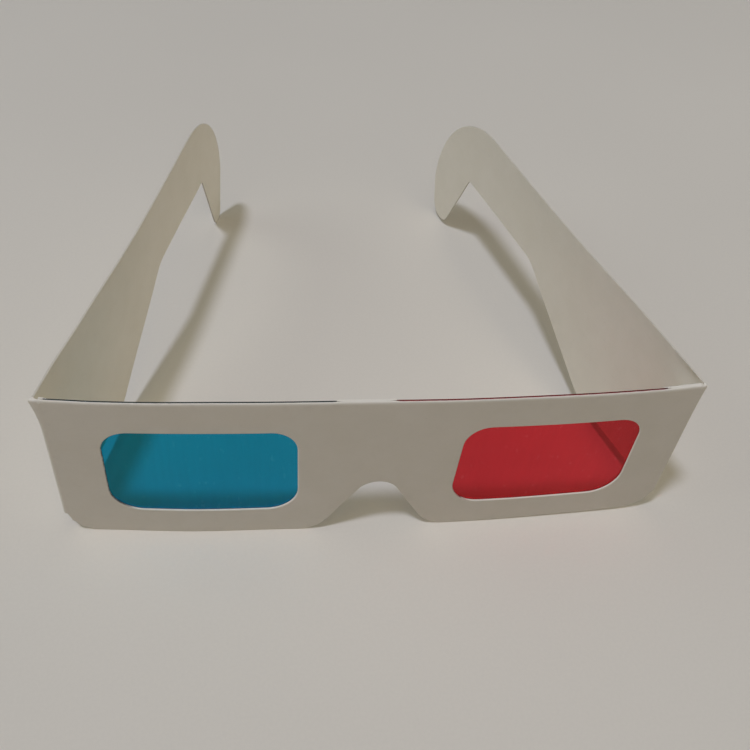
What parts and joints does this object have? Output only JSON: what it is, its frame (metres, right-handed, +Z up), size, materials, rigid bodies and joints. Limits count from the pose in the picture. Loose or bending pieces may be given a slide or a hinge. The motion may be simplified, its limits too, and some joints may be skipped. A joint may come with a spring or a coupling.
{
  "type": "3d glasses",
  "caption": "Folding card 3D glasses with a laminated front, one cyan and one red filter window, a nose notch, and flat arms with ear hooks that turn on creases.",
  "frame": {"origin": "on the table, under the middle of the box around the glasses as they stand with the arms half closed", "axes": "+X to the right as seen from the face side, +Z up, the face of the front looks to -Y and the arms reach to +Y"},
  "size_m": [0.13, 0.1226, 0.04],
  "materials": {
    "card": "matte uncoated white board with bare cut edges",
    "cyan_filter": "clear tinted film",
    "red_filter": "clear tinted film"
  },
  "bodies": {
    "front": {"front_card": "card", "back_card": "card", "cyan_film": "cyan_filter", "red_film": "red_filter", "left_crease": "card", "right_crease": "card"},
    "left_arm": {"left_arm": "card"},
    "right_arm": {"right_arm": "card"}
  },
  "joints": [
    {"name": "left_fold", "type": "hinge", "parent": "front", "child": "left_arm", "pos_m": [-0.0642, -0.05811, 0.02], "axis": [0, 0, -1], "range_deg": [-105, 75]},
    {"name": "right_fold", "type": "hinge", "parent": "front", "child": "right_arm", "pos_m": [0.0642, -0.05811, 0.02], "axis": [0, 0, 1], "range_deg": [-105, 68]}
  ]
}
